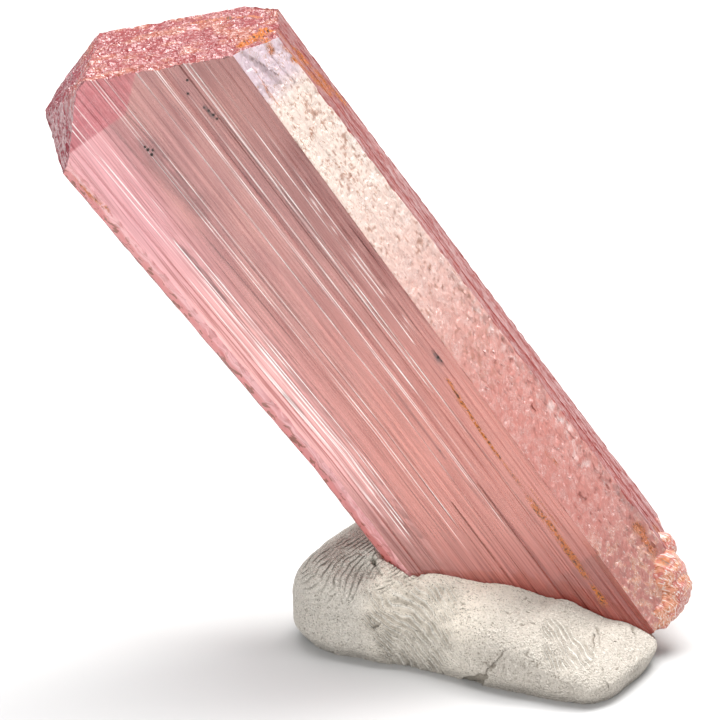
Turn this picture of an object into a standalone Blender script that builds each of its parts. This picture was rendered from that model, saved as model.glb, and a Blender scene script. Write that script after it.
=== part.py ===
"""A kunzite crystal leaning in a pressed lump of putty.

Metres, +Z up, with the origin at the middle of the putty's flat underside.
The crystal is modelled upright in its own frame: X across its broad front face, Y from the front face to
the back, Z along the prism. The object then leans over the table and stands in a seat cut in the putty.
"""

import math
import random

import bmesh
import bpy
from mathutils import Vector, noise

# How the crystal stands: its prism axis leans to -X, this far above the table.
LEAN = math.radians(54.2)
FOOT = Vector((0.01176, -0.0030, -0.00103))
SEAT_GAP = 0.0003

# The prism's cross-section. The front face is at Y = 0 and every bevel is at 45 degrees.
RIGHT_EDGE = 0.01255
THICKNESS = 0.0160
FRONT_LEFT_BEVEL = 0.0016
BACK_RIGHT_BEVEL = 0.0030
BACK_LEFT_BEVEL = 0.0030
# The section changes a little along the axis: height, left edge, width of the bevel at the front right.
SECTION_RINGS = (
    (-0.0060, -0.0104, 0.0052),
    (0.0330, -0.0101, 0.0045),
    (0.0860, -0.0124, 0.0036),
)

# Growth striations: low steps that run the whole length of the faces.
STEP_PITCH = (0.0005, 0.0017)
STEP_RISER = 0.00012
BROAD_STEP_DEPTH = 0.00030
BEVEL_STEP_DEPTH = 0.00018

# The rough termination is three oblique facets that meet like a low roof. For each: its height where it
# would cut the line X = 0, Y = 0, its rise across the crystal, and its rise towards the back.
TOP_FACETS = (
    (0.07625, -0.48, 0.015),
    (0.07965, 0.31, -0.02),
    (0.08370, 1.06, 0.40),
)
TOP_OF_CUTTERS = 0.095
# The broken foot: a break level with the table, which rests in the putty, and an oblique end beside it.
BREAK_HEIGHT = 0.0024
END_HEIGHT = -0.0009
END_RISE_TO_BACK = 0.45
BOTTOM_OF_CUTTERS = -0.020

# Roughness of the etched termination and of the break: angular bites up to this deep.
ROUGH_CELL = 0.0011
ROUGH_LUMP = 0.0030
TOP_ROUGHNESS = 0.00050
FOOT_ROUGHNESS = 0.00050

# The knobbly crust fused to the foot's right-hand end: middle, in the crystal's own frame, and radius.
KNOBS = (
    ((0.0110, 0.0046, 0.0026), 0.0022),
    ((0.0109, 0.0042, 0.0009), 0.0020),
    ((0.0096, 0.0034, 0.0001), 0.0018),
    ((0.0082, 0.0026, 0.0001), 0.0016),
    ((0.0069, 0.0018, 0.0004), 0.0012),
    ((0.0110, 0.0076, 0.0038), 0.0021),
    ((0.0106, 0.0106, 0.0054), 0.0020),
    ((0.0094, 0.0064, 0.0019), 0.0021),
    ((0.0080, 0.0094, 0.0036), 0.0019),
)
KNOB_JITTER = 0.12

# The lump of putty: a rolled log, turned about Z, with a taller lobe at its -X end.
PUTTY_TURN = math.radians(-28.3)
PUTTY_LOW = -0.0032
PUTTY_RINGS = 36
PUTTY_SIDES = 42
PUTTY_ENDS = (-0.0180, 0.0184)
# Below 1, these powers square off a round: the log's cross-section, and its outline seen from above.
SECTION_SQUARENESS = 0.66
END_SQUARENESS = 0.46
# Where the section is widest, as a share of the crest's height.
WAIST = 0.42
# Along the log: where, crest height, and half width to the front and to the back.
PUTTY_STATIONS = (
    (-0.0180, 0.0092, 0.0090, 0.0080),
    (-0.0130, 0.0109, 0.0100, 0.0086),
    (-0.0075, 0.0117, 0.0095, 0.0088),
    (-0.0030, 0.0100, 0.0088, 0.0090),
    (0.0030, 0.0085, 0.0089, 0.0092),
    (0.0090, 0.0069, 0.0090, 0.0092),
    (0.0140, 0.0047, 0.0094, 0.0090),
    (0.0184, 0.0035, 0.0096, 0.0086),
)
LOG_AXIS_HEIGHT = 0.004
# Broad and fine hollows and swellings: size and depth.
SWELLINGS = ((0.0071, 0.00035), (0.0031, 0.00018))
# Where a finger pressed it: middle, in the log's own frame, radius and depth.
PRESSES = (
    ((-0.0088, -0.0080, 0.0102), 0.0021, 0.0015),
    ((-0.0030, -0.0090, 0.0050), 0.0060, 0.0006),
    ((0.0150, -0.0030, 0.0058), 0.0050, 0.0005),
)

KUNZITE_COLOUR = (0.83, 0.47, 0.46, 1.0)
PUTTY_COLOUR = (0.72, 0.69, 0.64, 1.0)


def clear_scene():
    for old in list(bpy.data.objects):
        bpy.data.objects.remove(old)


def new_collection(name):
    collection = bpy.data.collections.new(name)
    bpy.context.scene.collection.children.link(collection)
    return collection


def new_object(name, shape, collection):
    """Turns a bmesh into a named object."""
    bmesh.ops.recalc_face_normals(shape, faces=shape.faces)
    mesh = bpy.data.meshes.new(name)
    shape.to_mesh(mesh)
    shape.free()
    made = bpy.data.objects.new(name, mesh)
    collection.objects.link(made)
    return made


def cutter(made):
    """Marks an object as a helper that isn't part of the model."""
    made.hide_render = True
    made.display_type = "WIRE"
    return made


def boolean(made, name, operation, other):
    """Cuts or joins a piece with an object, or with every object of a collection."""
    modifier = made.modifiers.new(name, "BOOLEAN")
    modifier.operation = operation
    if isinstance(other, bpy.types.Collection):
        modifier.operand_type = "COLLECTION"
        modifier.collection = other
    else:
        modifier.object = other


def material(name, colour, roughness, transmission=0.0, ior=1.5):
    made = bpy.data.materials.new(name)
    made.use_nodes = True
    made.diffuse_color = colour
    shader = made.node_tree.nodes["Principled BSDF"]
    shader.inputs["Base Color"].default_value = colour
    shader.inputs["Roughness"].default_value = roughness
    shader.inputs["Metallic"].default_value = 0.0
    shader.inputs["Transmission Weight"].default_value = transmission
    shader.inputs["IOR"].default_value = ior
    return made


def corners(ring, grow=0.0):
    """The section's eight corners, anticlockwise from the front face's left end.

    grow moves every face out.
    """
    _, left, front_right = ring
    # A bevel at 45 degrees moves out as far as its neighbours do only if it widens by this much.
    widening = grow * (2.0 - math.sqrt(2.0))
    left -= grow
    right = RIGHT_EDGE + grow
    front = -grow
    back = THICKNESS + grow
    front_left = FRONT_LEFT_BEVEL + widening
    front_right += widening
    back_right = BACK_RIGHT_BEVEL + widening
    back_left = BACK_LEFT_BEVEL + widening
    return [
        Vector((left + front_left, front)),
        Vector((right - front_right, front)),
        Vector((right, front + front_right)),
        Vector((right, back - back_right)),
        Vector((right - back_right, back)),
        Vector((left + back_left, back)),
        Vector((left, back - back_left)),
        Vector((left, front + front_left)),
    ]


def step_pattern(length, depth, seed):
    """A striated face's profile: (share of the face's width, depth) pairs, for treads at unequal depths."""
    draw = random.Random(seed)
    pattern = []
    travelled = draw.uniform(*STEP_PITCH)
    tread = 0.0
    while travelled < length - STEP_PITCH[0]:
        pattern.append((travelled / length, tread))
        tread = draw.uniform(0.0, depth)
        pattern.append(((travelled + STEP_RISER) / length, tread))
        travelled += STEP_RISER + draw.uniform(*STEP_PITCH)
    return pattern


def face_points(start, end, pattern):
    """A face of the section from one corner up to the next, which it leaves out."""
    across = end - start
    inward = Vector((-across.y, across.x)).normalized()
    return [start] + [start + across * share + inward * depth for share, depth in pattern]


def striations():
    """The steps of each striated face, by the number of the corner it starts at."""
    section = corners(SECTION_RINGS[1])
    depths = {0: BROAD_STEP_DEPTH, 1: BEVEL_STEP_DEPTH, 2: BEVEL_STEP_DEPTH, 4: BROAD_STEP_DEPTH}
    return {
        i: step_pattern((section[i + 1] - section[i]).length, depth, seed=11 + i)
        for i, depth in depths.items()
    }


def prism(patterns, grow=0.0):
    """The crystal's prism before its ends are cut: a loft through the section at each height."""
    shape = bmesh.new()
    rings = []
    for ring in SECTION_RINGS:
        section = corners(ring, grow)
        outline = []
        for i, corner in enumerate(section):
            outline += face_points(corner, section[(i + 1) % len(section)], patterns.get(i, []))
        rings.append([shape.verts.new((x, y, ring[0])) for x, y in outline])
    for low, high in zip(rings, rings[1:]):
        for i in range(len(low)):
            j = (i + 1) % len(low)
            shape.faces.new((low[i], low[j], high[j], high[i]))
    shape.faces.new(rings[0])
    shape.faces.new(rings[-1])
    return shape


def termination_height(x, y):
    """The termination's facets without their roughness: the lowest of their planes."""
    return min(height + across * x + to_back * y for height, across, to_back in TOP_FACETS)


def break_level(x):
    """The height, along the prism, of the break that is level with the table."""
    return (BREAK_HEIGHT - FOOT.z - x * math.cos(LEAN)) / math.sin(LEAN)


def foot_height(x, y):
    """The foot's surface without its roughness: the oblique end, or the level break where that is higher."""
    return max(END_HEIGHT + END_RISE_TO_BACK * y, break_level(x))


def bite(x, y, size, seed):
    """A value from 0 to 1 that changes in angular cells about this size, as an etched or broken face does."""
    spot = Vector((x / size, y / size, seed))
    return min(1.0, noise.voronoi(spot)[0][0])


def rough_block(surface, roughness, seed, side):
    """A block whose inner face is a rough surface over the whole section.

    side is 1 for a block above the crystal and -1 for one below it.
    """
    width = 2.6 * RIGHT_EDGE
    depth = 1.5 * THICKNESS
    shape = bmesh.new()
    bmesh.ops.create_grid(
        shape, x_segments=round(width / ROUGH_CELL), y_segments=round(depth / ROUGH_CELL), size=0.5
    )
    for point in shape.verts:
        x = point.co.x * width
        y = point.co.y * depth + THICKNESS / 2.0
        cut = roughness * bite(x, y, ROUGH_LUMP, seed)
        cut += 0.5 * roughness * bite(x, y, 0.4 * ROUGH_LUMP, seed + 7.0)
        point.co = (x, y, surface(x, y) - side * cut)
    grown = bmesh.ops.extrude_face_region(shape, geom=list(shape.faces))
    for point in grown["geom"]:
        if isinstance(point, bmesh.types.BMVert):
            point.co.z = TOP_OF_CUTTERS if side > 0 else BOTTOM_OF_CUTTERS
    return shape


def knob(middle, radius, seed, grow):
    """One angular knob of the crust."""
    draw = random.Random(seed)
    shape = bmesh.new()
    bmesh.ops.create_icosphere(shape, subdivisions=2, radius=1.0)
    for point in shape.verts:
        point.co *= radius * (1.0 + draw.uniform(-KNOB_JITTER, KNOB_JITTER)) + grow
        point.co += Vector(middle)
    return shape


def crust(name, collection, grow=0.0):
    """The knobs as helpers in a collection of their own, ready to be joined to a piece."""
    knobs = bpy.data.collections.new(name)
    collection.children.link(knobs)
    for i, (middle, radius) in enumerate(KNOBS):
        made = cutter(new_object(f"{name}_{i + 1}", knob(middle, radius, 40 + i, grow), knobs))
        stand(made)
    return knobs


def cut_below(shape, plane_co, plane_no):
    """Cuts off what is on the plane's outer side and closes the cut."""
    cut = bmesh.ops.bisect_plane(
        shape, geom=shape.verts[:] + shape.edges[:] + shape.faces[:], dist=1e-7,
        plane_co=plane_co, plane_no=plane_no, clear_outer=True,
    )
    rim = [part for part in cut["geom_cut"] if isinstance(part, bmesh.types.BMEdge)]
    bmesh.ops.contextual_create(shape, geom=rim)


def seat():
    """The crystal's foot without its roughness, larger all round by the gap."""
    shape = prism({}, SEAT_GAP)
    level = Vector((0.0, 0.0, break_level(0.0) - SEAT_GAP / math.sin(LEAN)))
    cut_below(shape, level, Vector((-math.cos(LEAN), 0.0, -math.sin(LEAN))))
    cut_below(shape, Vector((0.0, 0.0, END_HEIGHT - SEAT_GAP)), Vector((0.0, 0.0, -1.0)))
    return shape


def stand(made):
    """Puts an object that is in the crystal's own frame where the crystal stands."""
    made.rotation_euler = (0.0, LEAN - math.pi / 2.0, 0.0)
    made.location = FOOT


def station(along):
    """The putty's crest height and two half widths at a place along the log."""
    for low, high in zip(PUTTY_STATIONS, PUTTY_STATIONS[1:]):
        if along <= high[0]:
            break
    share = (along - low[0]) / (high[0] - low[0])
    share = min(1.0, max(0.0, share))
    share = share * share * (3.0 - 2.0 * share)
    return [a + (b - a) * share for a, b in zip(low[1:], high[1:])]


def signed_power(value, power):
    return math.copysign(abs(value) ** power, value)


def putty_ring(turn):
    """One ring of the putty, a squared-off oval. turn goes from 0 at its -X end to pi at the other."""
    low_end, high_end = PUTTY_ENDS
    middle, reach = (low_end + high_end) / 2.0, (high_end - low_end) / 2.0
    along = middle - reach * signed_power(math.cos(turn), END_SQUARENESS)
    swell = math.sin(turn) ** END_SQUARENESS
    crest, to_front, to_back = station(along)
    waist = WAIST * crest
    points = []
    for i in range(PUTTY_SIDES):
        around = math.tau * i / PUTTY_SIDES
        across = signed_power(math.cos(around), SECTION_SQUARENESS)
        lift = signed_power(math.sin(around), SECTION_SQUARENESS)
        half = to_back if across > 0.0 else to_front
        rise = crest - waist if lift > 0.0 else waist - PUTTY_LOW
        points.append(Vector((along, across * half * swell, waist + lift * rise * swell)))
    return points


def dent(point):
    """The give of hand-rolled putty: broad hollows and swellings, and the places where it was pressed."""
    broad, fine = (depth * noise.noise(point / size) for size, depth in SWELLINGS)
    push = broad + fine
    for middle, radius, depth in PRESSES:
        push -= depth * math.exp(-((point - Vector(middle)).length / radius) ** 2)
    return point + (point - Vector((point.x, 0.0, LOG_AXIS_HEIGHT))).normalized() * push


def putty_lump():
    shape = bmesh.new()
    rings = []
    for i in range(1, PUTTY_RINGS):
        rings.append([shape.verts.new(dent(p)) for p in putty_ring(math.pi * i / PUTTY_RINGS)])
    for ring, after in zip(rings, rings[1:]):
        for i in range(PUTTY_SIDES):
            j = (i + 1) % PUTTY_SIDES
            shape.faces.new((ring[i], ring[j], after[j], after[i]))
    shape.faces.new(rings[0])
    shape.faces.new(rings[-1])
    cut_below(shape, Vector((0.0, 0.0, 0.0)), Vector((0.0, 0.0, -1.0)))
    return shape


def build():
    clear_scene()
    parts = new_collection("kunzite_on_putty")
    cutters = new_collection("cutters")

    top_block = rough_block(termination_height, TOP_ROUGHNESS, seed=3.0, side=1)
    foot_block = rough_block(foot_height, FOOT_ROUGHNESS, seed=9.0, side=-1)
    top_cut = cutter(new_object("top_cut", top_block, cutters))
    foot_cut = cutter(new_object("foot_cut", foot_block, cutters))
    seat_cut = cutter(new_object("crystal_seat", seat(), cutters))
    crystal = new_object("kunzite_crystal", prism(striations()), parts)
    for piece in (top_cut, foot_cut, seat_cut, crystal):
        stand(piece)

    boolean(crystal, "termination", "DIFFERENCE", top_cut)
    boolean(crystal, "broken_foot", "DIFFERENCE", foot_cut)
    boolean(crystal, "crust", "UNION", crust("knob", cutters))
    boolean(seat_cut, "crust_room", "UNION", crust("knob_room", cutters, 1.3 * SEAT_GAP))
    crystal.data.materials.append(
        material("kunzite", KUNZITE_COLOUR, roughness=0.12, transmission=1.0, ior=1.66)
    )

    putty = new_object("putty", putty_lump(), parts)
    putty.rotation_euler = (0.0, 0.0, PUTTY_TURN)
    boolean(putty, "seat", "DIFFERENCE", seat_cut)
    putty.data.materials.append(material("putty", PUTTY_COLOUR, roughness=0.85))


build()
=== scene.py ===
"""The looks of a kunzite crystal that leans in a pressed lump of putty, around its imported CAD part.

Shapes are worked out in millimetres and turned into metres when a mesh is made. The crystal is made
upright in its own frame, as in the CAD: X across its front face, Y from the front face to the back and
Z along the prism. The putty is made in the frame of the rolled log that it is.
"""

import math
import random
from itertools import product

import bmesh
import bpy
import numpy as np
from mathutils import Matrix, Vector, geometry, noise


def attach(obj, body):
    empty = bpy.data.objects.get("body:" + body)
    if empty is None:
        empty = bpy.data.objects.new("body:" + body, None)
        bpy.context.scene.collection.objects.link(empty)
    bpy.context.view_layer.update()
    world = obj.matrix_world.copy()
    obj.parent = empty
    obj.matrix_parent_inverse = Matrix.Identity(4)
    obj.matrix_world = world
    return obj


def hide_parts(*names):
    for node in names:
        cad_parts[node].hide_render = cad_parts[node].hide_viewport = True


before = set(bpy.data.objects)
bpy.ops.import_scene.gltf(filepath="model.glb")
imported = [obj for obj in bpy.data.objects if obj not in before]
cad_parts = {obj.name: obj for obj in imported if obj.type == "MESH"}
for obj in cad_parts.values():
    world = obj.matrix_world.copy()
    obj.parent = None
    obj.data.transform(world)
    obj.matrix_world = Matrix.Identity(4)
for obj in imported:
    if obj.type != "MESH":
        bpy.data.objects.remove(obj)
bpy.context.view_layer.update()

MM = 0.001

# How the crystal stands: its lean, where its own origin is (metres), and the gap around it in its seat.
LEAN = math.radians(54.2)
TIP = LEAN - math.pi / 2.0
FOOT = Vector((0.01176, -0.003, -0.00103))
FOOT_HEIGHT = FOOT.z * 1000.0
SEAT_GAP = 0.3

# The prism's section, as in the CAD. Rings: height, left edge, width of the bevel at the front right.
RIGHT_EDGE = 12.55
THICKNESS = 16.0
FRONT_LEFT_BEVEL = 1.6
BACK_BEVEL = 3.0
RINGS = np.array(((-6.0, -10.4, 5.2), (33.0, -10.1, 4.5), (86.0, -12.4, 3.6)))
# Zones of the surface: the section's sides in their order, then the two ends and the crust.
FRONT, ETCHED, SIDE, BACK_RIGHT, BACK, BACK_LEFT, LEFT, FRONT_LEFT, TOP, BREAK, CRUST = range(11)
SIDES = 8

# The CAD's low steps, and the fine striations between them.
STEP_PITCH = (0.5, 1.7)
STEP_RISER = 0.12
STEP_DEPTH = {FRONT: 0.3, ETCHED: 0.18, SIDE: 0.18, BACK: 0.3}
FINE_RISER = 0.022
# A face's narrowest and widest fine tread, their depth, and how far one tilts.
FINE_TREADS = {
    FRONT: (0.075, 0.34, 0.045, 0.05),
    BACK: (0.25, 0.9, 0.05, 0.03),
    LEFT: (0.35, 0.8, 0.05, 0.03),
}
FADE_LENGTHS = (14.0, 60.0)
SAME_COLUMN = 0.012
# Gaps between the columns of the other faces; rows, and how much finer those of the etched faces are.
COLUMN_GAP = {ETCHED: 0.19, SIDE: 0.22, BACK_RIGHT: 0.36, BACK_LEFT: 0.6, FRONT_LEFT: 0.28}
FINE_FACES = (ETCHED, SIDE, BACK_RIGHT)
ROWS = 84
FINER = 4

# The ends: planes of the termination (height, slopes), the level break and the oblique end, as in the CAD.
TOP_FACETS = ((76.25, -0.48, 0.015), (79.65, 0.31, -0.02), (83.7, 1.06, 0.4))
TOP_GUESS, FOOT_GUESS = 77.0, 5.0
BREAK_HEIGHT = 2.4
END_HEIGHT = -0.9
END_RISE_TO_BACK = 0.45
ROUGH_LUMP = 3.0
ROUGHNESS = 0.5
TOP_GAP, FOOT_GAP = 0.145, 0.3

# Lumps of the crust: middle, radius.
KNOBS = (
    ((11.0, 4.6, 2.6), 2.2), ((10.9, 4.2, 0.9), 2.0), ((9.6, 3.4, 0.1), 1.8),
    ((8.2, 2.6, 0.1), 1.6), ((6.9, 1.8, 0.4), 1.2), ((11.0, 7.6, 3.8), 2.1),
    ((10.6, 10.6, 5.4), 2.0), ((9.4, 6.4, 1.9), 2.1), ((8.0, 9.4, 3.6), 1.9),
)
CHIP = 0.85

# The putty, as in the CAD. Stations: place along the log, crest, half widths to the front and the back.
PUTTY_TURN = math.radians(-28.3)
PUTTY_LOW = -3.2
PUTTY_ENDS = (-18.0, 18.4)
SECTION_SQUARENESS = 0.66
END_SQUARENESS = 0.46
WAIST = 0.42
PUTTY_STATIONS = (
    (-18.0, 9.2, 9.0, 8.0),
    (-13.0, 10.9, 10.0, 8.6),
    (-7.5, 11.7, 9.5, 8.8),
    (-3.0, 10.0, 8.8, 9.0),
    (3.0, 8.5, 8.9, 9.2),
    (9.0, 6.9, 9.0, 9.2),
    (14.0, 4.7, 9.4, 9.0),
    (18.4, 3.5, 9.6, 8.6),
)
LOG_AXIS_HEIGHT = 4.0
# Broad swellings: size, height. Presses: middle, radius, depth.
SWELLINGS = ((7.1, 0.35), (3.1, 0.18))
PRESSES = (
    ((-8.8, -8.0, 10.2), 2.1, 1.5),
    ((-3.0, -9.0, 5.0), 6.0, 0.6),
    ((15.0, -3.0, 5.8), 5.0, 0.5),
)
# The mesh: the gap between its points, the section they are spaced on, and their weights below and behind.
PUTTY_GRAIN = 0.1
HALF_WIDTH, HALF_HEIGHT = 9.0, 5.5
UNDER, UNDER_WEIGHT, BACK_WEIGHT = -0.62, 0.12, 0.42
# The lower edge curves in to the floor: between which heights, and by which shares.
TUCK = (2.2, -0.6)
TUCK_ALONG, TUCK_ACROSS = 0.05, 0.14

# The photo's camera (metres), and the lights: name, place, aim, size, power, colour.
LOOKING_DOWN = 20.0
CAMERA = (-0.0112, -0.38482, 0.17071)
LENS, SENSOR = 210.0, 36.0
LIGHTS = (
    ("overhead", (0.0, 0.34, 1.5), (0.0, 0.0, 0.0), 1.2, 34.0, (1.0, 1.0, 1.0)),
    ("key", (0.45, 0.55, 1.3), (0.0, 0.0, 0.03), 0.5, 10.0, (1.0, 0.98, 0.95)),
    ("fill", (-0.6, -1.9, 0.9), (0.0, 0.0, 0.03), 1.5, 17.0, (1.0, 1.0, 1.0)),
)
FLOOR_HALF = 1500.0


# Helpers for shapes


def table_noise(u, v, w=0.0, seed=0):
    """Smooth noise from -1 to 1 with cells one unit wide."""
    table = np.random.default_rng(seed).uniform(-1.0, 1.0, (64, 64, 64))
    u, v, w = np.broadcast_arrays(np.asarray(u, float), v, w)
    whole = [np.floor(part).astype(int) for part in (u, v, w)]
    part = [value - cell for value, cell in zip((u, v, w), whole)]
    part = [p * p * (3.0 - 2.0 * p) for p in part]
    total = 0.0
    for corner in range(8):
        step = [(corner >> i) & 1 for i in range(3)]
        weight = 1.0
        for p, s in zip(part, step):
            weight = weight * (p if s else 1.0 - p)
        index = [(cell + s) % 64 for cell, s in zip(whole, step)]
        total = total + weight * table[index[0], index[1], index[2]]
    return total


def even_noise(places, size, seed):
    """The same noise with cells of one size, at places given by their coordinates."""
    return table_noise(*(np.asarray(places) / size), seed=seed)


def facets(u, v, size, tilt, seed, stretch=1.0):
    """Heights of a patchwork of small flats, each tilted its own way."""
    table = np.random.default_rng(seed).uniform(-1.0, 1.0, (128, 128, 4))
    a, b = np.asarray(u) / size, np.asarray(v) / (size * stretch)
    cell_a, cell_b = np.floor(a).astype(int), np.floor(b).astype(int)
    nearest = np.full(a.shape, np.inf)
    height = np.zeros(a.shape)
    for i, j in product((-1, 0, 1), repeat=2):
        drawn = table[(cell_a + i) % 128, (cell_b + j) % 128]
        off_a = a - (cell_a + i + 0.5 + 0.45 * drawn[..., 0])
        off_b = b - (cell_b + j + 0.5 + 0.45 * drawn[..., 1])
        distance = off_a**2 + off_b**2
        slope = size * tilt * (drawn[..., 2] * off_a + drawn[..., 3] * off_b)
        closer = distance < nearest
        nearest = np.where(closer, distance, nearest)
        height = np.where(closer, slope, height)
    return height


def near_path(points, path):
    """How far each point is from a path of straight stretches."""
    nearest = np.full(len(points), np.inf)
    for a, b in zip(path, path[1:]):
        a, b = np.array(a, float), np.array(b, float)
        along = b - a
        share = np.clip(((points - a) @ along) / (along @ along), 0.0, 1.0)
        nearest = np.minimum(nearest, np.linalg.norm(points - a - share[:, None] * along, axis=1))
    return nearest


def from_middle(points, middle):
    return np.linalg.norm(points - np.array(middle), axis=1)


def smooth_step(value, low, high):
    share = np.clip((np.asarray(value) - low) / (high - low), 0.0, 1.0)
    return share * share * (3.0 - 2.0 * share)


def bell(value):
    """1 at 0, and fading to 0 some way beyond 1."""
    return np.exp(-(value**2))


def made_object(name, vertices, faces):
    """A mesh object from places in millimetres."""
    mesh = bpy.data.meshes.new(name)
    mesh.from_pydata((np.asarray(vertices) * MM).tolist(), [], faces)
    mesh.validate()
    made = bpy.data.objects.new(name, mesh)
    bpy.context.scene.collection.objects.link(made)
    return made


def apply_boolean(made, other, operation):
    modifier = made.modifiers.new("boolean", "BOOLEAN")
    modifier.operation = operation
    modifier.solver = "MANIFOLD"
    modifier.object = other
    graph = bpy.context.evaluated_depsgraph_get()
    mesh = bpy.data.meshes.new_from_object(made.evaluated_get(graph), depsgraph=graph)
    made.modifiers.clear()
    made.data = mesh
    bpy.data.objects.remove(other)


def keep(mesh, name, values, domain="POINT"):
    """Stores a number for each vertex or face, for the materials."""
    layer = mesh.attributes.new(name, "FLOAT", domain)
    layer.data.foreach_set("value", np.asarray(values, np.float32))


def taken_from(shape):
    """The places and faces of a bmesh, which is freed."""
    shape.verts.index_update()
    places = np.array([point.co for point in shape.verts])
    faces = [[point.index for point in face.verts] for face in shape.faces]
    shape.free()
    return places, faces


def ball(subdivisions):
    """The directions to a ball's points, and its faces."""
    shape = bmesh.new()
    bmesh.ops.create_icosphere(shape, subdivisions=subdivisions, radius=1.0)
    return taken_from(shape)


# The crystal's shape


def section(left, bevel, grow=0.0):
    """The section's eight corners from the front's left one on, larger all round where grow says so."""
    left, right = left - grow, RIGHT_EDGE + grow
    front, back = -grow, THICKNESS + grow
    widening = grow * (2.0 - math.sqrt(2.0))
    fl, fr, br = FRONT_LEFT_BEVEL + widening, bevel + widening, BACK_BEVEL + widening
    return (
        (left + fl, front), (right - fr, front), (right, front + fr), (right, back - br),
        (right - br, back), (left + br, back), (left, back - br), (left, front + fl),
    )


def corner_places(z):
    """The section's eight corners at each height."""
    left, bevel = (np.interp(z, RINGS[:, 0], RINGS[:, i]) for i in (1, 2))
    blank = np.zeros(np.shape(z))
    return np.array([(x + blank, y + blank) for x, y in section(left, bevel)])


def step_pattern(length, depth, seed):
    """The CAD's steps on a face: (share of its width, depth)."""
    draw = random.Random(seed)
    pattern = []
    travelled = draw.uniform(*STEP_PITCH)
    tread = 0.0
    while travelled < length - STEP_PITCH[0]:
        pattern.append((travelled / length, tread))
        tread = draw.uniform(0.0, depth)
        pattern.append(((travelled + STEP_RISER) / length, tread))
        travelled += STEP_RISER + draw.uniform(*STEP_PITCH)
    return pattern


def plain_column(share):
    """A column that belongs to no fine tread, with the values that fine_columns gives."""
    return (share, 0.0, 30.0, 0.0, share, 0.0, 1.0)


def fine_columns(face, length):
    """Two columns for each fine tread: share of the face's width, depth, fade length, phase, the middle of
    the tread, and two numbers drawn for its looks."""
    draw = random.Random(101 + face)
    drawn = random.Random(201 + face)
    narrow, wide, deep, tilt = FINE_TREADS[face]
    columns = []
    travelled = 0.0
    while travelled < length - narrow:
        width = narrow + (wide - narrow) * draw.random() ** 2
        width = min(width, length - travelled)
        middle = deep * draw.random() ** 1.5
        rise = width * draw.uniform(-tilt, tilt)
        period, phase = draw.uniform(*FADE_LENGTHS), draw.uniform(0.0, math.tau)
        centre = (travelled + width / 2.0) / length
        looks = (drawn.gauss(0.0, 1.0), drawn.random() + smooth_step(width, 0.1, 0.22))
        for off, side in ((0.0, -0.5), (width - FINE_RISER, 0.5)):
            share = (travelled + off) / length
            columns.append((share, middle + side * rise, period, phase, centre, *looks))
        travelled += width
    return columns


def face_columns(face, length):
    """A face's columns: face, share of its width, step depth, and the values of fine_columns."""
    steps = [(0.0, 0.0)]
    if face in STEP_DEPTH:
        steps += step_pattern(length, STEP_DEPTH[face], 11 + face)
    steps.append((1.0, 0.0))
    shares, depths = np.array(steps).T
    if face in FINE_TREADS:
        columns = fine_columns(face, length)
    else:
        count = round(length / COLUMN_GAP[face])
        columns = [plain_column(i / count) for i in range(count)]
    taken = np.array([column[0] for column in columns])
    for share in shares[1:-1]:
        if np.abs(taken - share).min() * length > SAME_COLUMN:
            near = columns[int(np.searchsorted(taken, share)) - 1]
            columns.append((share, *near[1:]))
    columns = sorted(columns)
    columns[0] = plain_column(0.0)
    return [(face, c[0], float(np.interp(c[0], shares, depths)), *c[1:]) for c in columns]


def all_columns():
    corners = corner_places(RINGS[1, 0])
    columns = []
    for face in range(SIDES):
        length = float(np.linalg.norm(corners[(face + 1) % SIDES] - corners[face]))
        columns += face_columns(face, length)
    return np.array(columns)


def inward_of(columns):
    """Each column's direction into the crystal. At a corner it is between those of the two faces."""
    angles = np.radians(45.0 * np.arange(SIDES) - 90.0)
    face = columns[:, 0].astype(int)
    turned = angles[face] - np.where(columns[:, 1] == 0.0, math.radians(22.5), 0.0)
    return -np.stack((np.cos(turned), np.sin(turned)), axis=1)


def etch_relief(face, x, y, z):
    """How deep the etching goes on each face, beside the steps."""
    across = x + y
    lower = smooth_step(z, 55.0, 40.0)
    pits = smooth_step(table_noise(across / 0.3, z / 0.42, seed=6), 0.25, 0.75)
    worms = smooth_step(0.16 - abs(table_noise(across / 0.8, z / 1.1, seed=7)), 0.0, 0.16)
    etched = facets(across, z, 0.55, 0.34, 5, stretch=1.5) * (0.35 + 0.65 * lower)
    etched = etched + 0.12 * pits + 0.05 * worms * (1.0 - lower)
    etched = etched + 0.1 * table_noise(across / 2.2, z / 5.0, seed=8)
    side = facets(across, z, 0.6, 0.12, 9, stretch=2.5) + 0.08 * table_noise(y / 0.7, z / 9.0, seed=10)
    edge = facets(across, z, 0.5, 0.25, 14, stretch=2.4) + 0.07 * table_noise(y, z / 2.5, seed=15)
    relief = np.zeros(np.shape(z))
    for faces, depth in (
        ((ETCHED,), etched),
        ((SIDE,), side),
        ((BACK_RIGHT,), facets(across, z, 0.9, 0.12, 12, stretch=2.0)),
        ((BACK_LEFT, LEFT), facets(across, z, 0.8, 0.1, 13, stretch=2.5)),
        ((FRONT_LEFT,), edge),
    ):
        relief += np.where(np.isin(face, faces), depth, 0.0)
    return relief


def spread_over(z, columns, share):
    """Places at a share of each column's face, at its heights: the section's corners follow the height."""
    face = columns[:, 0].astype(int)
    corners, order = corner_places(z), np.arange(len(columns))
    start, end = corners[face, :, order], corners[(face + 1) % SIDES, :, order]
    return start + (end - start) * share[:, None, None]


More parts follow.
